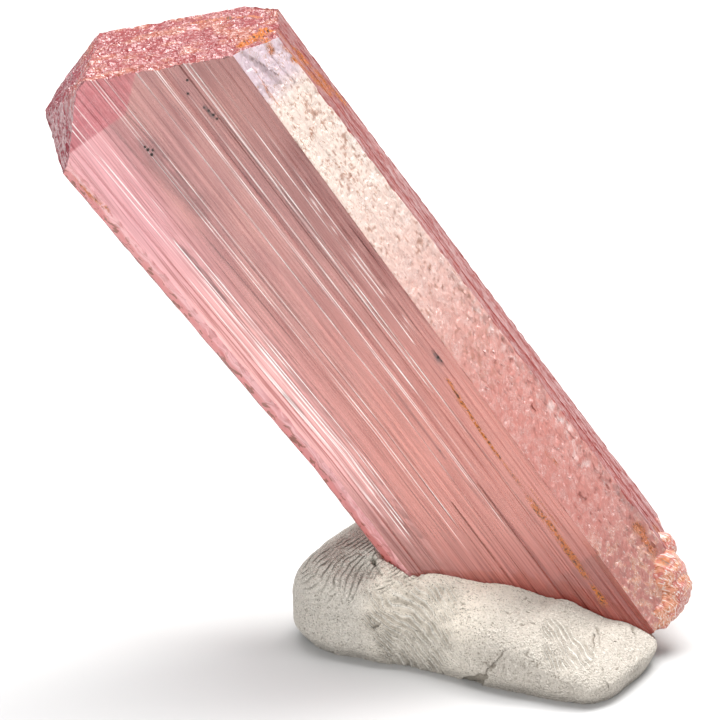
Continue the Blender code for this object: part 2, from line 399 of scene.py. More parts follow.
def prism_places(columns, z):
    """Every column's places at its heights. z has a row for each column."""
    kinds = columns[:, 0].astype(int)[:, None] * np.ones(z.shape)
    place = spread_over(z, columns, columns[:, 1])
    share, steps, fine, period, phase = (columns[:, i][:, None] for i in range(1, 6))
    fade = np.clip(0.55 + 0.9 * np.sin(math.tau * z / period + phase), 0.0, 1.0)
    depth = steps + fine * fade + etch_relief(kinds, place[:, 0], place[:, 1], z)
    corner = (share == 0.0) * np.ones(z.shape)
    nicks = 0.05 + 0.22 * np.clip(table_noise(z / 0.8, kinds, seed=16) - 0.15, 0.0, 1.0)
    depth = np.where(corner > 0.5, nicks, depth)
    return place + inward_of(columns)[:, :, None] * depth[:, None, :]


# Marks on the crystal, in its own frame: path, width, strength.
RUST = (
    (((6.4, 0, 33.6), (6.0, 0, 31.0), (5.8, 0, 27.3), (5.6, 0, 23.6)), 0.17, 1.0),
    (((5.6, 0, 23.6), (5.7, 0, 20.5)), 0.17, 0.6),
    (((5.5, 0, 18.6), (5.6, 0, 14.0), (5.5, 0, 10.6), (5.3, 0, 8.6)), 0.34, 0.9),
    (((5.3, 0, 7.2), (5.2, 0, 5.2)), 0.28, 1.0),
    (((6.3, 0, 19.5), (6.2, 0, 15.0)), 0.14, 0.5),
    (((-10.9, 0.8, 70.3), (-10.7, 0.7, 68.5), (-10.1, 0.1, 66.3)), 0.26, 1.0),
    (((9.2, 1.0, 71.6), (9.38, 0.88, 69.2), (9.15, 0.5, 66.9), (9.3, 0.6, 64.6)), 0.12, 0.8),
    (((12.5, 4.4, 67.0), (12.5, 5.4, 65.4), (12.5, 7.1, 63.2), (12.5, 8.4, 61.6)), 0.75, 1.0),
    (((12.5, 7.6, 66.4), (12.5, 9.0, 63.4), (12.5, 10.6, 60.6), (12.5, 11.2, 59.2)), 0.85, 1.0),
    (((12.5, 3.2, 70.2), (12.5, 4.4, 67.0)), 0.22, 0.8),
    (((12.5, 6.2, 69.6), (12.5, 7.6, 66.4)), 0.3, 0.9),
    (((9.6, 3.6, 71.6), (10.2, 4.9, 71.2), (11.4, 7.4, 70.6)), 0.85, 1.0),
    (((11.2, 4.4, 70.6), (11.4, 2.9, 69.6)), 0.55, 0.9),
    (((3.5, 13.9, 74.0), (8.2, 13.45, 72.1), (10.8, 12.1, 70.8)), 0.35, 0.75),
    (((-0.5, 2.4, 75.5), (4.5, 1.2, 74.4)), 0.7, 0.25),
    (((-6.5, 4.0, 77.0), (-4.0, 2.2, 76.6)), 0.5, 0.35),
    (((11.7, 4.3, 8.6), (11.7, 4.0, 6.4), (11.9, 3.4, 4.0)), 0.55, 0.8),
    (((12.5, 6.4, 6.6), (12.4, 8.4, 5.4)), 0.6, 0.6),
    (((9.3, 1.6, 21.2), (9.5, 1.8, 19.4)), 0.15, 0.7),
)
SHADE = (
    (((-3.4, 0, 69.3), (-3.3, 0, 66.0), (-2.8, 0, 61.0)), 0.95, 0.5),
    (((3.45, 0, 69.1), (3.65, 0, 67.5)), 0.17, 1.0),
    (((6.75, 0, 36.4), (6.78, 0, 35.2)), 0.24, 1.0),
    (((-6.6, 0, 59.6), (-6.4, 0, 56.0), (-6.3, 0, 52.0)), 0.15, 0.8),
    (((-7.45, 0, 41.2), (-7.2, 0, 39.0)), 0.22, 0.45),
    (((1.5, 0, 37.0), (1.36, 0, 27.8), (1.8, 0, 18.5)), 0.1, 0.55),
    (((5.4, 0, 12.6), (5.4, 0, 9.8)), 0.18, 0.6),
    (((9.5, 0.8, 71.2), (9.9, 1.2, 69.6), (10.4, 1.8, 66.8)), 0.34, 0.5),
    (((9.8, 1.1, 70.4), (10.2, 1.5, 68.9), (10.7, 2.05, 67.2)), 0.11, 1.0),
    (((11.3, 2.7, 70.4), (11.2, 2.6, 67.6), (11.5, 2.9, 65.6)), 0.09, 0.8),
    (((8.9, 0.3, 68.0), (9.2, 0.6, 66.6)), 0.25, 0.35),
    (((12.2, 4.7, 13.0), (12.2, 4.7, 10.6), (12.5, 5.6, 7.3), (12.6, 6.6, 4.3)), 0.45, 0.45),
    (((12.5, 10.2, 61.4), (12.5, 10.9, 60.0)), 0.3, 0.9),
)


def marked(spots, marks):
    """The strongest of the marks at each place, from 0 to 1."""
    found = np.zeros(len(spots))
    wander = np.stack([even_noise(spots.T, 0.7, seed) for seed in (95, 96, 97)], axis=1)
    for path, width, strength in marks:
        away = near_path(spots + 0.5 * width * wander, path)
        found = np.maximum(found, strength * smooth_step(away, 1.35 * width, 0.55 * width))
    return found


def streaks(x, z, drawn, chance):
    """The tone and the white frost lines of the fine treads. Both stand partly for light: the tone paints
    shade and light onto the treads, and the white lines are partly painted highlights of the striations.
    Frost is likely in a band at the right and one at the left.
    """
    along = table_noise(drawn * 37.0, z / 12.0, seed=91)
    tone = 0.56 * drawn * (0.7 + 0.5 * along) + 0.28 * table_noise(x / 0.7, z / 26.0, seed=92)
    right = bell((x - 4.8) / 1.5) * smooth_step(z, 31.0, 41.0)
    left = bell((x + 6.3) / 1.5) * smooth_step(z, 22.0, 30.0) * smooth_step(z, 62.0, 54.0)
    share = 0.2 + 0.8 * right + 0.6 * left + 0.1 * table_noise(x / 2.0, z / 14.0, seed=93)
    # A blocky region beside the etched face.
    blocks = table_noise(x / 0.8, z / 1.5, seed=98)
    region = smooth_step(x, 5.6, 6.6) * smooth_step(z, 35.0, 42.0) * smooth_step(z, 64.0, 60.0)
    tone = tone - 0.8 * region * smooth_step(blocks, 0.15, -0.15)
    share = (share + 0.5 * region * smooth_step(blocks, 0.1, 0.35)) * smooth_step(z, 12.0, 32.0)
    broken = 0.6 + 0.6 * table_noise(drawn * 53.0, z / 3.0, seed=94)
    return np.clip(tone, -1.0, 1.0), smooth_step(share - chance, 0.0, 0.05) * np.clip(broken, 0.0, 1.0)


def white_ridge(y, z):
    """The white line along the edge between the etched face and the side."""
    seam = bell((y - 3.9 - 0.4 * table_noise(z / 3.0, 0.0, seed=99)) / 0.42)
    flecks = table_noise(y / 0.22, z / 0.4, seed=100) + 0.5 * table_noise(y / 1.5, z / 3.0, seed=103)
    return seam * smooth_step(flecks, 0.25, 0.6) * smooth_step(z, 6.0, 16.0) * smooth_step(z, 66.0, 60.0)


def etched_pits(y, z):
    """Small holes on the etched face, and winding ones around one place high up."""
    holes = table_noise(y / 0.2, z / 0.38, seed=101) + 0.25 * table_noise(y / 1.2, z / 2.5, seed=104)
    worms = 0.22 - abs(table_noise(y / 0.42, z / 0.85, seed=102))
    pits = smooth_step(z, 20.0, 42.0) * smooth_step(z, 68.0, 65.0) * smooth_step(holes, 0.56, 0.74)
    large = np.exp(-(((z - 62.0) / 3.4) ** 2 + ((y - 2.7) / 0.9) ** 2))
    return np.maximum(pits, smooth_step(worms * smooth_step(large, 0.5, 0.85), 0.07, 0.15))


def prism_looks(face, x, y, z, drawn, chance):
    """(tone from -1 to 1, partly painted shade and light of the treads; white frost and painted highlight
    lines from 0 to 1; pits from 0 to 1) of the prism's faces.
    """
    tone, frost_and_highlight = streaks(x, z, drawn, chance)
    striated = np.isin(face, (FRONT, BACK, LEFT))
    frost_and_highlight = np.where(striated, frost_and_highlight, 0.0)
    frost_and_highlight = np.where(np.isin(face, (ETCHED, SIDE)), 0.5 * white_ridge(y, z), frost_and_highlight)
    return np.where(striated, tone, 0.0), frost_and_highlight, np.where(face == ETCHED, etched_pits(y, z), 0.0)


def bites(x, y, seed):
    """The CAD's angular bites in the rough ends, from 0 to 1.5 for each place."""
    found = []
    for a, b in zip(np.ravel(x), np.ravel(y)):
        coarse = noise.voronoi(Vector((a / ROUGH_LUMP, b / ROUGH_LUMP, seed)))[0][0]
        size = 0.4 * ROUGH_LUMP
        small = noise.voronoi(Vector((a / size, b / size, seed + 7.0)))[0][0]
        found.append(min(1.0, coarse) + 0.5 * min(1.0, small))
    return np.array(found).reshape(np.shape(x))


def top_height(x, y):
    plane = np.min([h + a * x + b * y for h, a, b in TOP_FACETS], axis=0)
    inner = 0.25 + 0.75 * smooth_step(y, 15.5, 11.5)
    cut = ROUGHNESS * (0.35 + inner * (bites(x, y, 3.0) - 0.35))
    cut = cut + facets(x, y, 0.45, 0.34, 21) + inner * facets(x, y, 1.7, 0.07, 22)
    return plane - cut - 0.05


def foot_height(x, y):
    level = (BREAK_HEIGHT - FOOT_HEIGHT - x * math.cos(LEAN)) / math.sin(LEAN)
    plane = np.maximum(END_HEIGHT + END_RISE_TO_BACK * y, level)
    cut = ROUGHNESS * bites(x, y, 9.0) + facets(x, y, 0.9, 0.4, 23)
    return plane + cut + 0.02


def end_heights(columns, surface, guess):
    """Where each column meets the surface that ends it."""
    z = np.full((len(columns), 1), guess)
    for _ in range(6):
        place = prism_places(columns, z)
        z = 0.5 * z + 0.5 * surface(place[:, 0, 0], place[:, 1, 0])[:, None]
    return z[:, 0]


def cap(rim, surface, gap, seed):
    """Fills a rim with a jittered grid: (new places, triangles over rim and new places)."""
    draw = np.random.default_rng(seed)
    rim = rim[:, :2]
    low, high = rim.min(axis=0), rim.max(axis=0)
    x, y = np.meshgrid(np.arange(low[0], high[0], gap), np.arange(low[1], high[1], gap))
    inside = np.stack((x.ravel(), y.ravel()), axis=1)
    inside += draw.uniform(-0.25, 0.25, inside.shape) * gap
    clear = np.ones(len(inside), bool)
    crossings = np.zeros(len(inside), int)
    for a, b in zip(rim, np.roll(rim, -1, axis=0)):
        along = b - a
        length = np.linalg.norm(along)
        if length < 1e-9:
            continue
        share = np.clip(((inside - a) @ along) / length**2, 0.0, 1.0)
        clear &= np.linalg.norm(inside - a - share[:, None] * along, axis=1) > 0.6 * gap
        spans = (a[1] > inside[:, 1]) != (b[1] > inside[:, 1])
        rise = along[1] if abs(along[1]) > 1e-12 else 1e-12
        crossings += spans & (inside[:, 0] < a[0] + (inside[:, 1] - a[1]) / rise * along[0])
    inside = inside[clear & (crossings % 2 == 1)]
    spots = [Vector(p) for p in np.concatenate((rim, inside)).tolist()]
    found = geometry.delaunay_2d_cdt(spots, [], [list(range(len(rim)))], 1, 1e-7)
    source = [origin[0] if origin else -1 for origin in found[3]]
    faces = [[source[i] for i in face] for face in found[2]]
    faces = [face for face in faces if -1 not in face]
    return np.column_stack((inside, surface(inside[:, 0], inside[:, 1]))), faces


def wall_faces(index, face, fine):
    """(faces, zones) between each column and the next. A plain column meets a fine one in wide faces."""
    faces, zones = [], []
    for i in range(len(index)):
        j = (i + 1) % len(index)
        low, high = index[i], index[j]
        if fine[i] == fine[j]:
            faces += np.stack((low[:-1], high[:-1], high[1:], low[1:]), axis=1).tolist()
            zones += [face[i]] * (len(low) - 1)
            continue
        for row in range(ROWS):
            r = row * FINER
            if fine[j]:
                faces.append([int(low[row]), *high[r : r + FINER + 1].tolist(), int(low[row + 1])])
            else:
                faces.append([int(high[row]), int(high[row + 1]), *low[r : r + FINER + 1][::-1].tolist()])
            zones.append(face[i])
    return faces, zones


def crystal_mesh():
    columns = all_columns()
    face = columns[:, 0].astype(int)
    top = end_heights(columns, top_height, TOP_GUESS)
    foot = end_heights(columns, foot_height, FOOT_GUESS)
    share = np.linspace(0.0, 1.0, ROWS * FINER + 1)
    z = foot[:, None] + (top - foot)[:, None] * share
    place = prism_places(columns, z)
    middle = spread_over(z, columns, columns[:, 6])
    kinds = face[:, None] * np.ones(z.shape)
    drawn, chance = columns[:, 7][:, None], columns[:, 8][:, None]
    looks = prism_looks(kinds, middle[:, 0], middle[:, 1], z, drawn, chance)
    fine = np.isin(face, FINE_FACES)
    # For each point: its place, its place on the face's plain form, and its looks.
    values = (place[:, 0], place[:, 1], z, middle[:, 0], middle[:, 1], z, *looks)
    values = [part[:: 1 if finer else FINER] for part, finer in zip(np.stack(values, axis=2), fine)]
    ends = np.cumsum([0] + [len(part) for part in values])
    index = [np.arange(*pair) for pair in zip(ends, ends[1:])]
    faces, zones = wall_faces(index, face, fine)
    body, spots, looks = np.split(np.concatenate(values), (3, 6), axis=1)
    for row, surface, gap, zone, seed, way in (
        (-1, top_height, TOP_GAP, TOP, 31, 1),
        (0, foot_height, FOOT_GAP, BREAK, 32, -1),
    ):
        ends = np.array([column[row] for column in index])
        more, triangles = cap(body[ends], surface, gap, seed)
        number = np.concatenate((ends, np.arange(len(body), len(body) + len(more))))
        body, spots = np.concatenate((body, more)), np.concatenate((spots, more))
        faces += number[np.array(triangles)][:, ::way].tolist()
        zones += [zone] * len(triangles)
    made = made_object("kunzite", body, faces)
    keep(made.data, "zone", zones, "FACE")
    for name, look in zip(("tone", "frost_and_highlight", "pits"), looks.T):
        keep(made.data, name, np.pad(look, (0, len(body) - len(look))))
    keep(made.data, "rust", marked(spots, RUST))
    keep(made.data, "shade", marked(spots, SHADE))
    return made


def knob_mesh(seed, middle, radius):
    """One lump of the crust."""
    ways, faces = ball(4)
    lumps = 0.11 * table_noise(*(ways.T * 1.7 + seed), seed=41)
    shift = Vector((9.0 * seed, 0, 0))
    chips = np.array([noise.voronoi(Vector(way * radius / CHIP) + shift)[0][0] for way in ways])
    crumbs = 0.3 * (0.45 - chips) + 0.06 * table_noise(*(ways.T * radius / 0.3), seed=43)
    places = np.array(middle) + ways * (radius * (1.0 + lumps) + crumbs)[:, None]
    made = made_object(f"knob_{seed}", places, faces)
    keep(made.data, "zone", [CRUST] * len(faces), "FACE")
    for name in ("tone", "frost_and_highlight", "pits", "shade"):
        keep(made.data, name, np.zeros(len(places)))
    keep(made.data, "rust", marked(places, RUST))
    return made


def stand(made):
    """Moves a mesh in the crystal's own frame to where the crystal stands."""
    made.data.transform(Matrix.Translation(FOOT) @ Matrix.Rotation(TIP, 4, "Y"))
    return made


def make_crystal():
    made = crystal_mesh()
    for i, (middle, radius) in enumerate(KNOBS):
        apply_boolean(made, knob_mesh(i + 1, middle, radius), "UNION")
    return stand(made)


# The putty's shape


def station(along):
    """The putty's crest height and its two half widths at places along the log."""
    stations = np.array(PUTTY_STATIONS)
    index = np.clip(np.searchsorted(stations[:, 0], along, side="left") - 1, 0, len(stations) - 2)
    low, high = stations[index], stations[index + 1]
    share = smooth_step((along - low[:, 0]) / (high[:, 0] - low[:, 0]), 0.0, 1.0)[:, None]
    return (low + (high - low) * share)[:, 1:].T


def signed_power(value, power):
    return np.copysign(np.abs(value) ** power, value)


def spaced(values, curve, weight, gap):
    """Values whose points on a curve are about a gap apart, or farther where the weight is under 1."""
    steps = np.linalg.norm(np.diff(curve, axis=0), axis=1) * (weight[1:] + weight[:-1]) / 2.0
    travelled = np.concatenate(((0.0,), np.cumsum(steps)))
    count = max(8, round(travelled[-1] / gap))
    return np.interp(np.linspace(0.0, travelled[-1], count + 1), travelled, values)


def putty_turns():
    low, high = PUTTY_ENDS
    turn = np.linspace(1e-7, math.pi - 1e-7, 400001)
    along = -(high - low) / 2.0 * signed_power(np.cos(turn), END_SQUARENESS)
    curve = np.stack((along, HALF_WIDTH * np.sin(turn) ** END_SQUARENESS), axis=1)
    return spaced(turn, curve, np.ones(len(turn)), PUTTY_GRAIN)[1:-1]


def putty_arounds():
    around = np.linspace(0.0, math.tau, 20001)
    across = signed_power(np.cos(around), SECTION_SQUARENESS)
    lift = signed_power(np.sin(around), SECTION_SQUARENESS)
    weight = np.where(lift < UNDER, UNDER_WEIGHT, np.where(across < 0.2, 1.0, BACK_WEIGHT))
    curve = np.stack((HALF_WIDTH * across, HALF_HEIGHT * lift), axis=1)
    return spaced(around, curve, weight, PUTTY_GRAIN)[:-1]


def putty_places():
    """The lump before its fine detail, as rings of places."""
    turn, around = putty_turns(), putty_arounds()
    low, high = PUTTY_ENDS
    along = (low + high) / 2.0 - (high - low) / 2.0 * signed_power(np.cos(turn), END_SQUARENESS)
    swell = np.sin(turn) ** END_SQUARENESS
    crest, to_front, to_back = station(along)
    waist = WAIST * crest
    across = signed_power(np.cos(around), SECTION_SQUARENESS)[None, :]
    lift = signed_power(np.sin(around), SECTION_SQUARENESS)[None, :]
    half = np.where(across > 0.0, to_back[:, None], to_front[:, None])
    rise = np.where(lift > 0.0, (crest - waist)[:, None], (waist - PUTTY_LOW)[:, None])
    y = across * half * swell[:, None]
    z = waist[:, None] + lift * rise * swell[:, None]
    x = along[:, None] * np.ones(y.shape)
    tuck = smooth_step(z, *TUCK)
    x, y = x * (1.0 - TUCK_ALONG * tuck), y * (1.0 - TUCK_ACROSS * tuck)
    return np.stack((x, y, z), axis=2)


def outward(points):
    """Directions away from the log's axis."""
    way = points * (0.0, 1.0, 1.0) - (0.0, 0.0, LOG_AXIS_HEIGHT)
    return way / np.linalg.norm(way, axis=1)[:, None]


def dented(points):
    """Adds the CAD's swellings and presses."""
    metres = points * MM
    push = np.zeros(len(points))
    for size, depth in SWELLINGS:
        push += depth * np.array([noise.noise(p) for p in (metres / (size * MM)).tolist()])
    for middle, radius, depth in PRESSES:
        push -= depth * bell(from_middle(points, middle) / radius)
    return points + outward(points) * push[:, None]


# Finger ridges: middle of the patch, its reach, the way the ridges run (degrees from level, as seen from
# the front), their spacing, height (below 0 for furrows), how far they bend, and a seed.
RIDGES = (
    ((-11.3, -5.5, 8.6), 4.9, 41.0, 0.44, -0.12, 1.0, 51),
    ((-5.0, -6.9, 9.6), 2.4, 20.0, 0.42, -0.11, 0.4, 52),
    ((-2.6, -8.8, 5.2), 5.6, -50.0, 0.54, 0.16, 1.3, 53),
    ((12.6, -5.0, 4.6), 3.2, -66.0, 0.46, 0.06, 1.0, 54),
)
# Cracks: path, width and depth.
CRACKS = (
    (((-7.9, -6.1, 10.2), (-7.3, -6.5, 9.6), (-7.2, -6.7, 9.3), (-7.6, -7.2, 8.8)), 0.17, 0.8),
    (((-7.2, -6.6, 9.4), (-6.8, -6.8, 9.2), (-6.5, -7.0, 9.2)), 0.12, 0.55),
    (((-6.6, -9.0, 4.2), (-6.1, -9.0, 4.6), (-5.6, -8.9, 5.1)), 0.08, 0.25),
    (((3.1, -8.5, 0.3), (4.1, -8.6, 0.3), (5.2, -8.7, 0.6), (5.9, -8.8, 1.2)), 0.12, 0.45),
    (((5.9, -8.8, 1.2), (5.8, -8.8, 2.0), (6.6, -8.7, 3.0), (7.6, -8.6, 4.4), (8.4, -8.5, 5.2)), 0.09, 0.3),
    (
        ((13.6, 0.4, 4.7), (14.6, -1.2, 4.4), (15.4, -2.6, 4.0), (16.3, -4.6, 3.2), (17.6, -5.6, 1.8)),
        0.13, 0.5,
    ),
    (((14.4, -2.2, 4.9), (15.2, -4.4, 4.0), (16.0, -6.2, 3.0)), 0.1, 0.35),
    (((15.9, 3.8, 3.9), (17.0, 2.4, 3.4), (18.0, 0.8, 2.6), (18.3, -0.6, 1.6)), 0.2, 0.7),
    (((14.4, -8.4, 2.6), (14.9, -8.3, 2.3), (15.2, -8.2, 1.8)), 0.08, 0.2),
    (((15.0, -8.4, 0.4), (15.6, -8.2, 0.9), (16.0, -8.1, 0.4)), 0.08, 0.2),
)
# A mark counts only on points this near to it in depth, so none is cut into the back as well.
CRACK_REACH, SCAR_REACH = 4.5, 4.0
BULGE = ((16.6, -7.8, 0.9), 1.5, 0.55)
SCAR = (4.7, -8.7, 0.85)
SCAR_HALF_LENGTH, SCAR_HALF_WIDTH, FAR = 1.35, 0.6, 9.0
WRINKLE_WAY = math.radians(58.0)


def as_seen(points):
    """Places of the putty's frame as the camera sees them: (right, up, away)."""
    points = np.asarray(points, float)
    x = math.cos(PUTTY_TURN) * points[:, 0] - math.sin(PUTTY_TURN) * points[:, 1]
    away = math.sin(PUTTY_TURN) * points[:, 0] + math.cos(PUTTY_TURN) * points[:, 1]
    tilt = math.radians(LOOKING_DOWN)
    return x, points[:, 2] * math.cos(tilt) + away * math.sin(tilt), away


def finger_ridges(points, x, up):
    """(push, crossed, grip), as putty_detail gives them."""
    push, crossed, strongest, second, kind = np.zeros((5, len(points)))
    for middle, reach, way, spacing, height, bend, seed in RIDGES:
        edge = 0.25 * even_noise((x, up), 1.5, seed)
        share = smooth_step(from_middle(points, middle) / reach + edge, 1.15, 0.7)
        share = share * smooth_step(points[:, 0], -17.4, -15.6)
        angle = math.radians(way)
        travel = -math.sin(angle) * x + math.cos(angle) * up
        travel = travel + bend * even_noise((x, up), 4.5, seed + 10)
        travel = (travel + 0.16 * even_noise((x, up), 0.9, seed + 20)) / spacing
        wave = 1.0 - 2.0 * np.abs(np.sin(math.pi * travel)) ** 0.75
        held = share * np.clip(0.75 + 0.6 * even_noise((x, up), 0.7, seed + 30), 0.0, 1.0)
        push += height * held * wave
        second = np.maximum(second, np.minimum(strongest, held))
        crossed = np.where(held > strongest, travel, crossed)
        kind = np.where(held > strongest, math.copysign(1.0, height), kind)
        strongest = np.maximum(strongest, held)
    return push, crossed, kind * np.clip(strongest - second, 0.0, 1.0)


def crack(push, painted_hollow_shade, x, up, away):
    """Cuts the cracks, each with a raised lip along both sides, and paints shade into them."""
    jagged = 0.16 * np.stack([even_noise((x, up), 0.45, seed) for seed in (71, 72)], axis=1)
    spots = np.stack((x, up), axis=1) + jagged
    uneven = np.clip(0.7 + 0.9 * even_noise((x, up), 0.9, 74), 0.12, 1.3)
    for path, width, deep in CRACKS:
        right, high, behind = as_seen(path)
        gap = near_path(spots, np.stack((right, high), axis=1))
        here = np.abs(away - behind.mean()) < CRACK_REACH
        cut = here * bell(gap / (width * uneven))
        push -= deep * cut * np.minimum(uneven, 1.0)
        np.maximum(painted_hollow_shade, np.clip(1.3 * cut * np.minimum(uneven, 1.0), 0.0, 1.0), out=painted_hollow_shade)
        push += here * 0.07 * bell((gap - 3.0 * width) / (1.4 * width))


def tear(push, painted_hollow_shade, x, up, away):
    """Takes out a torn patch near the front's bottom edge, with painted shade inside it and along its edge.
    """
    (centre_x,), (centre_up,), (centre_away,) = as_seen((SCAR,))
    a, b = x - centre_x, up - centre_up
    a, b = a * 0.97 + b * 0.26, b * 0.97 - a * 0.26
    torn = np.hypot(a / SCAR_HALF_LENGTH, b / SCAR_HALF_WIDTH)
    torn = torn + 0.35 * even_noise((x, up), 0.5, 75)
    torn = np.where(np.abs(away - centre_away) < SCAR_REACH, torn, FAR)
    push -= 0.2 * smooth_step(torn, 1.08, 0.9)
    np.maximum(painted_hollow_shade, 0.8 * smooth_step(torn, 1.08, 0.9), out=painted_hollow_shade)
    np.maximum(painted_hollow_shade, bell((torn - 1.0) / 0.1), out=painted_hollow_shade)


def roughen(push, painted_hollow_shade, points, x, up):
    """Adds short wrinkles, pebbles and pores all over, with painted shade in their low parts."""
    a = math.cos(WRINKLE_WAY) * x + math.sin(WRINKLE_WAY) * up
    b = -math.sin(WRINKLE_WAY) * x + math.cos(WRINKLE_WAY) * up
    b = b + 0.35 * even_noise((x, up), 1.4, 84)
    wrinkle = 1.0 - 2.2 * np.abs(table_noise(b / 0.42, a / 1.3, points[:, 1] / 2.0, seed=85))
    push += 0.055 * wrinkle * (0.7 + 0.5 * even_noise((x, up), 2.6, 86))
    pebbles = even_noise(points.T, 0.3, 81)
    push += 0.05 * pebbles
    pores = smooth_step(even_noise(points.T, 0.24, 82), 0.6, 0.76)
    pores = pores * smooth_step(even_noise(points.T, 1.8, 87), -0.35, 0.15)
    push -= 0.1 * pores
    push += 0.04 * even_noise(points.T, 1.3, 83)
    for share in (
        0.16 * smooth_step(-pebbles, 0.15, 0.6),
        0.85 * pores,
        0.14 * np.clip(-wrinkle, 0.0, 1.0),
    ):
        np.maximum(painted_hollow_shade, share, out=painted_hollow_shade)


def putty_detail(points):
    """How far each point moves outward, how much painted shade it gets in hollows, its place across the
    finger ridges (a whole number on each thin line), and how strong those are: below 0 where the thin lines
    are furrows."""
    x, up, away = as_seen(points)
    push, crossed, grip = finger_ridges(points, x, up)
    # Painted shade in the furrows between the finger ridges.
    painted_hollow_shade = np.clip(-push / 0.12, 0.0, 1.0) * 0.25
    crack(push, painted_hollow_shade, x, up, away)
    tear(push, painted_hollow_shade, x, up, away)
    middle, reach, rise = BULGE
    push += rise * bell(from_middle(points, middle) / reach)
    roughen(push, painted_hollow_shade, points, x, up)
    return push, painted_hollow_shade, crossed, grip


def seat_mesh():
    """The crystal's foot without its roughness, larger all round by the gap."""
    shape = bmesh.new()
    rings = [
        [shape.verts.new((x, y, height)) for x, y in section(left, bevel, SEAT_GAP)]
        for height, left, bevel in RINGS
    ]
    for low, high in zip(rings, rings[1:]):
        for i in range(SIDES):
            j = (i + 1) % SIDES
            shape.faces.new((low[i], low[j], high[j], high[i]))
    shape.faces.new(rings[0][::-1])
    shape.faces.new(rings[-1])
    level = (BREAK_HEIGHT - FOOT_HEIGHT - SEAT_GAP) / math.sin(LEAN)
    for place, way in (
        (Vector((0.0, 0.0, level)), Vector((-math.cos(LEAN), 0.0, -math.sin(LEAN)))),
        (Vector((0.0, 0.0, END_HEIGHT - SEAT_GAP)), Vector((0.0, 0.0, -1.0))),
    ):
        cut = bmesh.ops.bisect_plane(
            shape, geom=shape.verts[:] + shape.edges[:] + shape.faces[:], dist=1e-5,
            plane_co=place, plane_no=way, clear_outer=True,
        )
        rim = [part for part in cut["geom_cut"] if isinstance(part, bmesh.types.BMEdge)]
        bmesh.ops.contextual_create(shape, geom=rim)
    bmesh.ops.recalc_face_normals(shape, faces=shape.faces)
    return stand(made_object("seat", *taken_from(shape)))


def knob_room(seed, middle, radius):
    """Room in the seat for one lump of the crust."""
    ways, faces = ball(3)
    return stand(made_object(f"room_{seed}", np.array(middle) + ways * (1.12 * radius + 0.1), faces))


def make_putty():
    rings = putty_places()
    count, sides = rings.shape[:2]
    points = dented(rings.reshape(-1, 3))
    push, *looks = putty_detail(points)
    points = points + outward(points) * push[:, None]
    index = np.arange(count * sides).reshape(count, sides)
    turned = np.roll(index, -1, axis=1)
    faces = np.stack((index[1:], turned[1:], turned[:-1], index[:-1]), axis=2).reshape(-1, 4).tolist()
    poles = np.stack((points[index[0]].mean(axis=0), points[index[-1]].mean(axis=0)))
    first, last = len(points), len(points) + 1
    points = np.concatenate((points, poles))
    faces += [[int(a), int(b), first] for a, b in zip(index[0], turned[0])]
    faces += [[int(b), int(a), last] for a, b in zip(index[-1], turned[-1])]
    made = made_object("putty_lump", points, faces)
    for name, values in zip(("painted_hollow_shade", "crossed", "grip"), looks):
        keep(made.data, name, np.concatenate((values, (0.0, 0.0))))
    made.data.transform(Matrix.Rotation(PUTTY_TURN, 4, "Z"))
    slab = made_object(
        "slab",
        [(x, y, z) for z in (-9.0, 0.0) for x, y in ((-40, -40), (40, -40), (40, 40), (-40, 40))],
        [[3, 2, 1, 0], [4, 5, 6, 7], [0, 1, 5, 4], [1, 2, 6, 5], [2, 3, 7, 6], [3, 0, 4, 7]],
    )
    apply_boolean(made, slab, "DIFFERENCE")
    cutter = seat_mesh()
    for i, (middle, radius) in enumerate(KNOBS):
        apply_boolean(cutter, knob_room(i + 1, middle, radius), "UNION")
    apply_boolean(made, cutter, "DIFFERENCE")
    return made


# Materials


KUNZITE_IOR = 1.66
INSIDE_DENSITY = 30.0
# The soft edge of a speck, as a share of its radius.
SPECK_EDGE = 0.3
# Black specks just under the front face: place, radius.
SPECKS = (
    ((-3.4, 0.15, 69.0), 0.17), ((-3.46, 0.15, 69.4), 0.13), ((-3.39, 0.15, 68.4), 0.17),
    ((-3.05, 0.15, 68.7), 0.13), ((3.7, 0.25, 72.3), 0.15), ((2.95, 0.25, 71.2), 0.15),
    ((1.36, 0.15, 27.8), 0.14), ((3.4, 0.2, 69.2), 0.17), ((3.55, 0.2, 68.7), 0.19),
    ((3.66, 0.2, 68.1), 0.2), ((3.72, 0.2, 67.6), 0.17), ((6.7, 0.15, 36.3), 0.14),
    ((6.8, 0.15, 35.8), 0.19), ((6.86, 0.15, 35.3), 0.13),
)


class Value:
    """A node's output. Arithmetic with it adds nodes."""

    def __init__(self, nodes, socket):
        self.nodes, self.socket = nodes, socket

    def __add__(self, other):
        return self.nodes.maths("ADD", self, other)

    def __mul__(self, other):
        return self.nodes.maths("MULTIPLY", self, other)

    def __sub__(self, other):
        return self.nodes.maths("SUBTRACT", self, other)

    def __rsub__(self, other):
        return self.nodes.maths("SUBTRACT", other, self)

    def __abs__(self):
        return self.nodes.maths("ABSOLUTE", self)

    __radd__, __rmul__ = __add__, __mul__

    def span(self, low, high, to_low=0.0, to_high=1.0):
        """Goes smoothly between two values while this one goes from low to high."""
        given = enumerate((self, low, high, to_low, to_high))
        return self.nodes.node("MapRange", 0, given, interpolation_type="SMOOTHSTEP")


